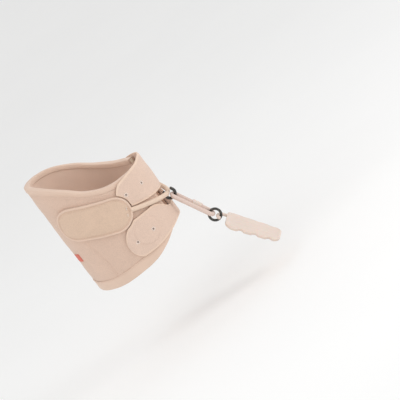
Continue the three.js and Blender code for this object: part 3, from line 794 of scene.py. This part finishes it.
def bind_edges(tape):
    def along_top(x, y, t):
        angle = body_angle(t)
        return on_cuff(angle, top_edge(angle) + y + edge_wander(angle), x)

    def along_low(x, y, t):
        angle = body_angle(t)
        return on_cuff(angle, low_edge(angle) - y - edge_wander(angle), x)

    folded_tape("top_binding", "top_edge_binding", tape, 220, along_top)
    folded_tape("low_binding", "low_edge_binding", tape, 220, along_low, HEM - 0.3)
    for side, edge, turn in (("near", NEAR_EDGE, 1), ("far", FAR_EDGE, -1)):
        def along_end(x, y, t, edge=edge, turn=turn):
            height = lerp(low_edge(edge) + HEM + 0.2, top_edge(edge) - TAPE_LIP - 0.4, t)
            return on_cuff(edge + turn * arc_degrees(y), height, x)

        folded_tape(f"{side}_front_binding", f"{side}_edge_binding", tape, 50, along_end)


def sew_cuff(thread):
    """Stitch rows through the tapes and the top seam, and beside each curved seam."""
    rows = []
    for name, height_at, proud, pitch in (
        ("hem_stitches", lambda a: low_edge(a) + HEM - 1.2, TAPE_PROUD, TAPE_PITCH),
        ("top_tape_stitches", lambda a: top_edge(a) - TAPE_STITCH, TAPE_PROUD, TAPE_PITCH),
        ("top_stitches", lambda a: top_edge(a) - TOP_SEAM, None, SEAM_PITCH),
    ):
        def at(x, height_at=height_at, proud=proud):
            angle = x / arc_mm(1)
            height = height_at(angle)
            lift = proud or cloth_relief(angle, height)
            return on_cuff(angle, height, lift + 0.06), outward(angle)

        start, end = arc_mm(NEAR_EDGE) - 3, arc_mm(FAR_EDGE) + 3
        rows.append(stitches(name, at, start, end, pitch, thread, TAPE_THREAD))
    for name, side in (("near_seam_stitches", -1), ("far_seam_stitches", 1)):
        def at_seam(height, side=side):
            angle = side * (panel_seam(height) - SEAM_ASIDE)
            return on_cuff(angle, height, cloth_relief(angle, height) + 0.08), outward(angle)

        rows.append(stitches(name, at_seam, SEAM_FROM, SEAM_TO, SEAM_PITCH, thread, SEAM_THREAD))
    finish_piece(join_pieces("cuff_stitching", rows), "cuff", "cuff_cloth")


def sew_tag(coral):
    """The small blank tag low at the back."""
    def face(u, v, side):
        s, t = lerp(-TAG_HALF_LONG, TAG_HALF_LONG, u), lerp(-TAG_HALF_HIGH, TAG_HALF_HIGH, v)
        lift = 0.25 * (1 - smooth(min(TAG_HALF_LONG - abs(s), TAG_HALF_HIGH - abs(t)), 0, 1.4))
        weave = 0.05 * math.sin(s * 9) * math.sin(t * 9)
        return spot_on(TAG_SPOT, s, t, (TAG_OUTER - lift + weave) if side else TAG_INNER)

    finish_piece(thick_sheet("plain_coral_tag", 60, 42, face, coral, 0.15), "cuff", "coral_tape", "blank_tag")


# ---------------------------------------------------------------- straps

PAD_NOSE = (PAD_LENGTH - PAD_WIDTH) / 2
NOSE_ANGLE = PAD_ANGLE - arc_degrees(PAD_NOSE * math.cos(PAD_TILT))
NOSE_HEIGHT = PAD_HEIGHT - PAD_NOSE * math.sin(PAD_TILT)


def nose_half(angle):
    """Half the height of the pad's round front end, with room round it, at an angle on the near side."""
    return half_chord(PAD_WIDTH / 2 + PAD_CLEAR, arc_mm(NOSE_ANGLE - abs(angle)))


def upper_outline(angle):
    low, high = UPPER_LOW + UPPER_LOW_BEND * angle ** 2, UPPER_HIGH - UPPER_HIGH_BEND * angle ** 2
    high -= STRAP_EASE * smooth(-angle, 0, -UPPER_FOLD)
    if angle < UPPER_FOLD:
        across = arc_mm(max(0, abs(angle) - UPPER_ARC_ANGLE))
        high = min(high, UPPER_ARC_HEIGHT + half_chord(UPPER_ARC_RADIUS, across))
        over = NOSE_HEIGHT + nose_half(angle) if nose_half(angle) > 0 else low
        low = min(max(low, over), high - 2 * TIP_HALF)
    return low, high


def lower_outline(angle):
    low = LOWER_LOW - LOWER_LOW_DROP * smooth(abs(angle), 0, 60)
    high = LOWER_HIGH + LOWER_HIGH_RISE * smooth(abs(angle), 6, 36) + LOWER_HIGH_SLOPE * abs(angle)
    if angle < LOWER_FOLD:
        middle = lerp(LOWER_MID, LOWER_TIP_MID, smooth(abs(angle), 55, 80))
        past = max(0, abs(angle) - LOWER_ROUND_START) / (abs(LOWER_TIP) - LOWER_ROUND_START)
        half = max(TIP_HALF, LOWER_HALF * math.sqrt(max(0, 1 - past ** LOWER_ROUND_POWER)))
        under = NOSE_HEIGHT - nose_half(angle) if nose_half(angle) > 0 else high
        low, high = max(low, middle - half), min(high, middle + half, under)
    return low, high


def mark_relief(mark, angle, height):
    """The round patch that shows through a strap end: a low plateau with a shallow groove round it."""
    mark_angle, mark_height, mark_radius, mark_rise = mark
    reach = math.hypot(arc_mm(angle + mark_angle), height - mark_height) - mark_radius
    return mark_rise * (1 - smooth(reach, -0.9, 0.5) - 0.35 * hill(reach - 0.9, 0.6))


def paint_rim_and_highlight(obj, outline):
    """Marks how near each point of a strap is to its cut edge, where the nap is thin and pale and where a
    painted highlight stands for the light that the rounded edge catches.
    """
    marks = []
    for vertex in obj.data.vertices:
        x, y, height = vertex.co / MM
        angle = math.degrees(math.atan2(y / (HALF_WIDTH + STRAP_OUTER), x / (HALF_DEPTH + STRAP_OUTER)))
        low, high = outline(angle)
        marks.append(1 - smooth(min(height - low, high - height), 0.4, 2.6))
    paint(obj, "rim", marks)


def build_strap(name, outline, tip, fold, mark, tacks, cloth, nodes):
    """One strap from its sewn root, across the front, to its rounded stick-down end."""
    crowd, margin = 1.55, 0.1

    def face(u, v, side):
        angle = lerp(STRAP_ROOT, tip, 1 - (1 - u) ** crowd)
        low, high = outline(angle)
        spread = math.cos(math.pi * lerp(margin, 1 - margin, v)) / math.cos(margin * math.pi)
        height = lerp(low, high, 0.5 - 0.5 * spread)
        if not side:
            return on_cuff(angle, height, STRAP_INNER)
        rim = min(height - low, high - height, arc_mm(abs(angle - tip)) + 0.3)
        pits = 0
        for tack_angle, tack_height in tacks:
            far = math.hypot(arc_mm(angle - tack_angle), height - tack_height)
            pits += sum(depth * hill(far, width) for width, depth in TACK_PULLS)
        soft = 0.16 * noise.noise(Vector((angle * 0.13, height * 0.12, fold)))
        plump = 0.55 * smooth(rim, 0, 2.6) - 0.4
        return on_cuff(angle, height, STRAP_OUTER + mark_relief(mark, angle, height) + soft + plump - pits)

    strap = thick_sheet(name, 230, 84, face, cloth, 0.45)
    paint_rim_and_highlight(strap, outline)
    start, end = (on_cuff(fold + reach, mark[1], FOLD_PROUD) * MM for reach in (FOLD_REACH, -FOLD_REACH))
    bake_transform(strap)
    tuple(start)
    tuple(end)
    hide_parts(*nodes)


def build_tacks(body, mark, tacks, thread, hole, nodes):
    """Each tack is a star of stitches pulled into the cloth round one needle hole, with a dark brown ring in
    the hole as painted shade.
    """
    for (angle, height), node in zip(tacks, nodes):
        centre = on_cuff(angle, height, STRAP_OUTER - TACK_DEPTH + mark_relief(mark, angle, height))
        out = outward(angle)
        across = UP.cross(out)
        rays = []
        for k, way in enumerate(circle(Vector(), UP, across, 1, TACK_RAYS)):
            def at(x, way=way, centre=centre, out=out):
                return centre + way * x + out * (0.42 * smooth(x, 0.3, 2.0) + 0.05), out

            reach = (TACK_START, TACK_REACH, TACK_REACH - TACK_START)
            rays.append(stitches(f"{node}_ray_{k}", at, *reach, thread, TACK_THREAD, 0.18, 1.0))
        finish_piece(join_pieces(node.replace("tack", "stitch_star"), rays), body, "strap_cloth", node)

        # A dark brown ring paints the shade inside the needle hole.
        path = circle(centre, UP, across, HOLE_RADIUS, 20)
        lips = tube(node.replace("tack", "needle_hole_shadow"), path, HOLE_LIP, hole, 10, True)
        finish_piece(lips, body, "strap_cloth")


def half_across(s, length, width):
    """Half the width of a round-ended patch at a distance from its middle."""
    past = max(0, abs(s) - (length - width) / 2)
    return math.sqrt(max(0.04, (width / 2) ** 2 - past ** 2))


def round_ended(u, v, length, width):
    """A grid point of a round-ended patch, closer set at its ends."""
    s = length / 2 * math.sin(math.pi * (u - 0.5))
    return s, (2 * v - 1) * half_across(s, length, width)


def hook_tape(name, spot, length, width, inner, outer, finish, body, node):
    """A round-ended patch of hook tape, its short bent hooks turned to the cuff."""
    def face(u, v, side):
        s, t = round_ended(u, v, length, width)
        return spot_on(spot, s, t, outer if side else backing)

    backing = outer - HOOK_TAPE_BACKING
    sheet = thick_sheet(f"{name}_sheet", 40, 10, face, finish, 0.12)
    share = (backing - inner) / PRONG[-1][0]
    corners = ((1, 0), (0, 1), (-1, 0), (0, -1))
    points, faces = [], []
    cols, rows = int(length / HOOK_TAPE_PITCH), int(width / HOOK_TAPE_PITCH)
    for i in range(cols):
        for j in range(rows):
            s = (i + 0.5 - cols / 2) * HOOK_TAPE_PITCH
            t = (j + 0.5 - rows / 2) * HOOK_TAPE_PITCH
            if min(half_across(s, length, width) - abs(t), length / 2 - abs(s)) <= HOOK_TAPE_MARGIN:
                continue
            faces += ring_faces(len(points), len(PRONG), len(corners))
            for rise, lean, fat in PRONG:
                proud = backing + 0.03 - rise * share
                points += [spot_on(spot, s + lean + fat * x, t + fat * y, proud) for x, y in corners]
    brush = new_piece(f"{name}_hooks", points, faces, finish)
    finish_piece(join_pieces(name, [sheet, brush]), body, "hook_tape", node)


# ---------------------------------------------------------------- pads

def outline_point(share, length, width):
    """A point on a round-ended outline, by share of the way round."""
    run, radius = length - width, width / 2
    half = run + math.pi * radius
    side = 1 if share < 0.5 else -1
    way = (share % 0.5) * 2 * half
    straight = clamp(way - math.pi * radius / 2, 0, run)
    turn = (way - straight) / radius
    return Vector((side * (run / 2 - straight), 0)) + Vector((math.cos(turn), math.sin(turn))) * side * radius


def build_pad(side_name, side, cloth, tape, hooks, thread, pale_thread, alloy):
    """Hook-tape base, crimp plate that holds the cord's end, crowned cover, piped rim and stitching."""
    spot = (side, PAD_ANGLE, PAD_HEIGHT, PAD_TILT)
    body = f"{side_name}_pad"
    hook_tape(f"{body}_hook_tape", spot, PAD_LENGTH - 0.6, PAD_WIDTH - 0.6, PAD_BASE_INNER, PAD_BASE_OUTER,
              hooks, body, f"{body}_base")
    crimp_at = PAD_LENGTH / 2 - CRIMP_FROM_END

    def crimp_face(u, v, face_side):
        s, t = round_ended(u, v, CRIMP_LENGTH, CRIMP_WIDTH)
        return spot_on(spot, crimp_at + s, t, CRIMP_OUTER if face_side else CRIMP_INNER)

    crimp = thick_sheet(f"{side_name}_crimp_plate", 20, 8, crimp_face, alloy, 0.15)
    finish_piece(crimp, body, "crimp_metal", f"{side_name}_cord_crimp")

    length, width = PAD_LENGTH - 2 * PAD_PIPING + 1.2, PAD_WIDTH - 2 * PAD_PIPING + 1.2

    def cover_face(u, v, face_side):
        s, t = round_ended(u, v, length, width)
        if not face_side:
            nearby = math.hypot((s - crimp_at) / CRIMP_HOLLOW_LONG, t / CRIMP_HOLLOW_WIDE)
            return spot_on(spot, s, t, COVER_INNER + CRIMP_HOLLOW_DEEP * (1 - smooth(nearby, 0.85, 1.1)))
        rim = min(half_across(s, length, width) - abs(t), length / 2 - abs(s))
        plump = COVER_CROWN * smooth(rim, 0, 4.5) + COVER_SWELL * smooth(rim, 3, 13)
        soft = 0.16 * noise.noise(Vector((s * 0.11, t * 0.13, side)))
        bar = 0.3 * hill(s - crimp_at + 1, 1.2) * smooth(rim, 1, 3) * (1 - smooth(abs(t), 4, 6))
        return spot_on(spot, s, t, COVER_OUTER + plump + soft - bar)

    cover = thick_sheet(f"{body}_cloth", 120, 52, cover_face, cloth, 0.35)
    finish_piece(cover, body, "pad_cloth", f"{body}_cover")

    steps = 260
    path = []
    for i in range(steps):
        point = outline_point(i / steps, PAD_LENGTH - PAD_PIPING, PAD_WIDTH - PAD_PIPING)
        path.append(spot_on(spot, point.x, point.y, 2.75))

    def piping_relief(run, turn):
        return 0.04 * math.sin(run * 5)

    piping = tube(f"{body}_piping", path, PAD_PIPING / 2, tape, 16, True, piping_relief)
    finish_piece(piping, body, "edge_tape", f"{body}_rim")

    inset = 2 * PAD_PIPING + EDGE_ROW_INSET
    round_way = 2 * ((length - width) + math.pi * (PAD_WIDTH - inset) / 2)

    def at_edge(x):
        point = outline_point((x / round_way) % 1, PAD_LENGTH - inset, PAD_WIDTH - inset)
        return spot_and_out(spot, point.x, point.y, EDGE_ROW_PROUD)

    edge_row = stitches(f"{body}_edge_row", at_edge, 0, round_way, EDGE_ROW_PITCH, thread, EDGE_ROW_THREAD)
    finish_piece(edge_row, body, "pad_cloth")
    bars = []
    for offset in (-BAR_ASIDE, BAR_ASIDE):
        def at_bar(x, offset=offset):
            return spot_and_out(spot, crimp_at + BAR_FORWARD + 0.25 * math.sin(x * 9), offset + x, 4.02)

        size = (-BAR_HALF, BAR_HALF, BAR_PITCH)
        bars.append(stitches(f"{body}_bar_{offset}", at_bar, *size, pale_thread, BAR_THREAD, 0.26, 0.95))
    finish_piece(join_pieces(f"{body}_bar_tacks", bars), body, "pad_cloth")


# ---------------------------------------------------------------- cords, hook, ring and plate

def plait(pitch):
    """Relief and shade of a round braid: two sets of yarns that wind opposite ways, over and under."""
    def crossing(run, turn):
        wind = 2 * math.pi * run / pitch
        return max(math.sin(CARRIERS * (turn + wind)), math.sin(CARRIERS * (turn - wind)))

    def relief(run, turn):
        return PLAIT_DEPTH * (crossing(run, turn) - 0.4) - 0.03

    def tint(run, turn):
        return clamp(0.5 + 0.5 * crossing(run, turn))

    return relief, tint


def squeeze(thin, full, aside):
    """Share of its thickness that a cord keeps, by the distance from the hook's plane."""
    return lerp(thin / full, 1, smooth(abs(aside), SQUEEZE_START, SQUEEZE_END))


def build_tension_cord(finish):
    """The elastic V from pad to pad, dipping a little into each pad's front end."""
    points = []
    stops = 16
    for i in range(stops + 1):
        angle = lerp(-CORD_REACH, CORD_REACH, i / stops)
        height = CORD_APEX_HEIGHT + CORD_RISE * (abs(angle) / CORD_SPAN) ** CORD_CURVE
        lift = CORD_LIFT * (1 - smooth(abs(angle), 0, CORD_LIFT_REACH))
        dip = CORD_DIP * smooth(abs(angle), CORD_DIP_START, CORD_REACH)
        points.append(on_cuff(angle, height, CORD_PROUD + lift - dip - give(angle, height)))
    relief, tint = plait(CORD_PLAIT)
    radius = CORD_WIDTH / 2 - PLAIT_SINK
    path = smooth_path(points, 0.32)
    middle = run_length(path) / 2

    def surface(run, turn):
        return relief(run, turn) + radius * (squeeze(CORD_SQUEEZED, CORD_WIDTH, run - middle) - 1)

    cord = tube("tension_elastic", path, radius, finish, 44, False, surface, tint)
    finish_piece(cord, "cuff", "elastic", "tension_cord")


def along(distance, aside=0.0):
    """A point on the line of pull, so far past the hook's centre and so far aside."""
    return HOOK_CENTRE + PULL * distance + ASIDE * aside


def rounded_wire(name, path, radius, finish):
    """Wire with domed ends."""
    length = run_length(path)

    def surface(run, turn):
        return half_chord(radius, radius - min(run, length - run, radius)) - radius

    return tube(name, path, radius, finish, 24, False, surface)


def build_front_hook(finish):
    radius = (HOOK_INNER + HOOK_WIRE) / 2
    mouth = (HOOK_MOUTH + HOOK_WIRE) / 2 / radius
    stops = 150
    path = []
    for i in range(stops + 1):
        turn = MOUTH_TURN + mouth + (2 * math.pi - 2 * mouth) * i / stops
        up = math.cos(turn)
        stretch = HOOK_EXTRA / 2 * clamp(up * 5, -1, 1)
        path.append(along(-(up * radius + stretch)) + REAR * (math.sin(turn) * radius))
    hook = rounded_wire("open_hook", smooth_path(path, 0.14), HOOK_WIRE / 2, finish)
    finish_piece(hook, "hook", "dark_metal", "front_hook")


def build_tether(finish, plastic):
    """A closed elastic loop from hook to ring, with the sleeve that joins its ends on one strand."""
    top_turn = HOOK_INNER / 2 + HOOK_EXTRA / 2 - TETHER_SQUEEZED / 2 - TOUCH_GAP + TETHER_BEND
    ring_seat = RING_OUTER / 2 - RING_WIRE - TETHER_WIDTH / 2 - TOUCH_GAP
    low_turn = (RING_CENTRE - HOOK_CENTRE).length - ring_seat - TETHER_BEND
    points = []
    bends, runs = 8, 6
    for turn_at, next_turn, bend in ((top_turn, low_turn, -TETHER_BEND), (low_turn, top_turn, TETHER_BEND)):
        for i in range(bends + 1):
            turn = math.pi * i / bends
            points.append(along(turn_at + bend * math.sin(turn), -bend * math.cos(turn)))
        points += [along(lerp(turn_at, next_turn, i / runs), bend) for i in range(1, runs)]
    relief, tint = plait(TETHER_PLAIT)
    radius = TETHER_WIDTH / 2 - PLAIT_SINK
    quarter = math.pi / 2

    def surface(run, turn):
        aside = TETHER_BEND * math.sin(clamp(run / TETHER_BEND - quarter, -quarter, quarter))
        return relief(run, turn) + radius * (squeeze(TETHER_SQUEEZED, TETHER_WIDTH, aside) - 1)

    cord = tube("tether_elastic", smooth_path(points, 0.32, True), radius, finish, 40, True, surface, tint)
    along(top_turn + 2) * MM
    along(low_turn - 2) * MM
    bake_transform(cord)
    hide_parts("tether_cord")

    join_at = lerp(top_turn, low_turn, SLEEVE_SHARE)
    inner = TETHER_WIDTH / 2 + SLEEVE_CLEAR
    outer = inner + SLEEVE_WALL
    profile = [(-5, inner), (-4.9, outer - 0.2), (-4.5, outer)]
    for x in range(-4, 5):
        crimps = hill(x - SLEEVE_CRIMP_AT, 0.9) + hill(x + SLEEVE_CRIMP_AT, 0.9)
        profile.append((x, outer - SLEEVE_CRIMP * crimps))
    profile += [(4.5, outer), (4.9, outer - 0.2), (5, inner)]
    turns = 36
    points = []
    for way in circle(Vector(), ASIDE, PULL.cross(ASIDE), 1, turns):
        points += [along(join_at + x, TETHER_BEND) + way * r for x, r in profile]
    sleeve = new_piece("crimped_sleeve", points, ring_faces(0, turns, len(profile), True), plastic)
    finish_piece(soften(sleeve, 0.1, 2, 0.9), "tether", "beige_plastic", "tether_sleeve")


def build_ring(finish):
    path = circle(RING_CENTRE, Vector((1, 0, 0)), UP, (RING_OUTER - RING_WIRE) / 2, 140)
    finish_piece(tube("lace_ring", path, RING_WIRE / 2, finish, 24, True), "ring", "dark_metal", "shoe_ring")


def build_insert(finish):
    """The plate lies under the laces, its wings drooping round the instep, its hook through the ring."""
    slope = Vector((math.cos(INSERT_SLOPE), 0, -math.sin(INSERT_SLOPE)))
    face_out = Vector((math.sin(INSERT_SLOPE), 0, math.cos(INSERT_SLOPE)))
    origin = RING_CENTRE + slope * (RING_OUTER / 2 - RING_WIRE - INSERT_WIRE / 2 - TOUCH_GAP)

    def place(x, y, z=0.0):
        return origin + slope * x + ASIDE * y + face_out * z

    def half_width(x):
        from_end = min(x, INSERT_LENGTH - x)
        cut = INSERT_CORNER - half_chord(INSERT_CORNER, max(0, INSERT_CORNER - from_end))
        notch = sum(max(0, 1 - ((x - n) / NOTCH_HALF) ** 2) for n in NOTCHES)
        return lerp(INSERT_TOP_WIDTH, INSERT_TOE_WIDTH, x / INSERT_LENGTH) / 2 - cut - notch * NOTCH_DEPTH

    def face(u, v, side):
        x = INSERT_LENGTH / 2 * (1 + math.sin(math.pi * (u - 0.5)))
        half = half_width(x)
        y = (2 * v - 1) * half
        sag = INSERT_DROOP * max(0, abs(y) - INSERT_FLAT_HALF) ** 2
        bead = BEAD_RISE * hill(min(half - abs(y), x, INSERT_LENGTH - x) - BEAD_INSET, 1.1)
        rib = RIB_RISE * hill(abs(y) - RIB_ASIDE, 1.0) * smooth(x, 5, 12) * (1 - smooth(x, 42, 50))
        z = (INSERT_THICK / 2 + bead + rib) if side else -INSERT_THICK / 2
        return place(INSERT_NECK + x, y, z - sag)

    plate = thick_sheet("instep_plate", 130, 60, face, finish, 0.6)
    points = [place(INSERT_NECK + x, INSERT_HOOK_ASIDE) for x in (4, 1, -2.5)]
    for turn in (30, 60, 90, 120, 150):
        t = math.radians(turn)
        points.append(place(INSERT_HOOK_REACH * (1 - math.sin(t)), INSERT_HOOK_ASIDE * math.cos(t)))
    hook = rounded_wire("plate_hook", smooth_path(points, 0.2), INSERT_WIRE / 2, finish)
    settle(plate, "BOOLEAN", {"object": hook, "operation": "UNION", "solver": "EXACT"})
    bpy.data.objects.remove(hook)
    finish_piece(plate, "insert", "beige_plastic", "insert_plate")


# ---------------------------------------------------------------- the whole orthosis

studio()
cuff_cloth = brushed_loop("cuff_loop_cloth", CUFF_BEIGE, 1.0)
# The straps' cloth is paler along its cut edges, partly with a painted highlight.
strap_cloth = brushed_loop("strap_loop_cloth", STRAP_BEIGE, 0.7, CUT_EDGE_AND_HIGHLIGHT)
pad_cloth = brushed_loop("pad_loop_cloth", PAD_BEIGE, 0.9)
knit_lining = knit("knit_lining", shade(CUFF_BEIGE, 1.02))
stretch_tape = ribbed_tape("stretch_tape", TAPE_BEIGE)
foam_sheet = open_foam("open_foam", FOAM_CREAM)
hook_nylon = satin_plastic("hook_nylon", NYLON_CREAM)
beige_thread = sewing_thread("beige_thread", shade(CUFF_BEIGE, 1.02))
pale_thread = sewing_thread("pale_thread", THREAD_PALE)
# Dark brown that paints the shade in the needle holes.
hole_shadow = sewing_thread("hole_shadow", HOLE_SHADOW_BROWN)
coral_weave = ribbed_tape("coral_weave", CORAL)
gunmetal = dark_plating("gunmetal")
alloy = crimp_alloy("crimp_alloy")
pink_plastic = satin_plastic("pale_pink_plastic", PLATE_PINK)

cuff_layer("cuff_cloth", "cuff_outer_cloth", "cuff_cloth", -CLOTH, 0, cuff_cloth, 250, 84, cloth_relief)
foam_core = cuff_layer("cuff_foam", "cuff_foam_core", "foam", FOAM_INNER, FOAM_OUTER, foam_sheet, 150, 40)
cuff_layer("cuff_inner_knit", "cuff_lining", "lining", LINING_INNER, LINING_OUTER, knit_lining, 200, 60)
bind_edges(stretch_tape)
sew_cuff(beige_thread)
sew_tag(coral_weave)
for row, outline, tip, fold, mark, tacks, (angle, height, length, width) in (
    ("upper", upper_outline, UPPER_TIP, UPPER_FOLD, UPPER_MARK, UPPER_TACKS, UPPER_PATCH),
    ("lower", lower_outline, LOWER_TIP, LOWER_FOLD, LOWER_MARK, LOWER_TACKS, LOWER_PATCH),
):
    tab = f"{row}_tab"
    build_strap(f"{row}_closure_strap", outline, tip, fold, mark, tacks, strap_cloth,
                (f"{row}_strap", f"{row}_tab_end"))
    build_tacks(tab, mark, tacks, pale_thread, hole_shadow, (f"{row}_front_tack", f"{row}_rear_tack"))
    hook_tape(f"{tab}_hook_tape", (-1, angle, height, 0), length, width, PATCH_INNER, PATCH_OUTER, hook_nylon,
              tab, f"{row}_hook_patch")
for side_name, side in (("near", -1), ("far", 1)):
    build_pad(side_name, side, pad_cloth, stretch_tape, hook_nylon, beige_thread, pale_thread, alloy)
build_tension_cord(braid("cream_elastic", CORD_CREAM))
build_front_hook(gunmetal)
build_tether(braid("pink_elastic", TETHER_PINK), pink_plastic)
build_ring(gunmetal)
build_insert(pink_plastic)
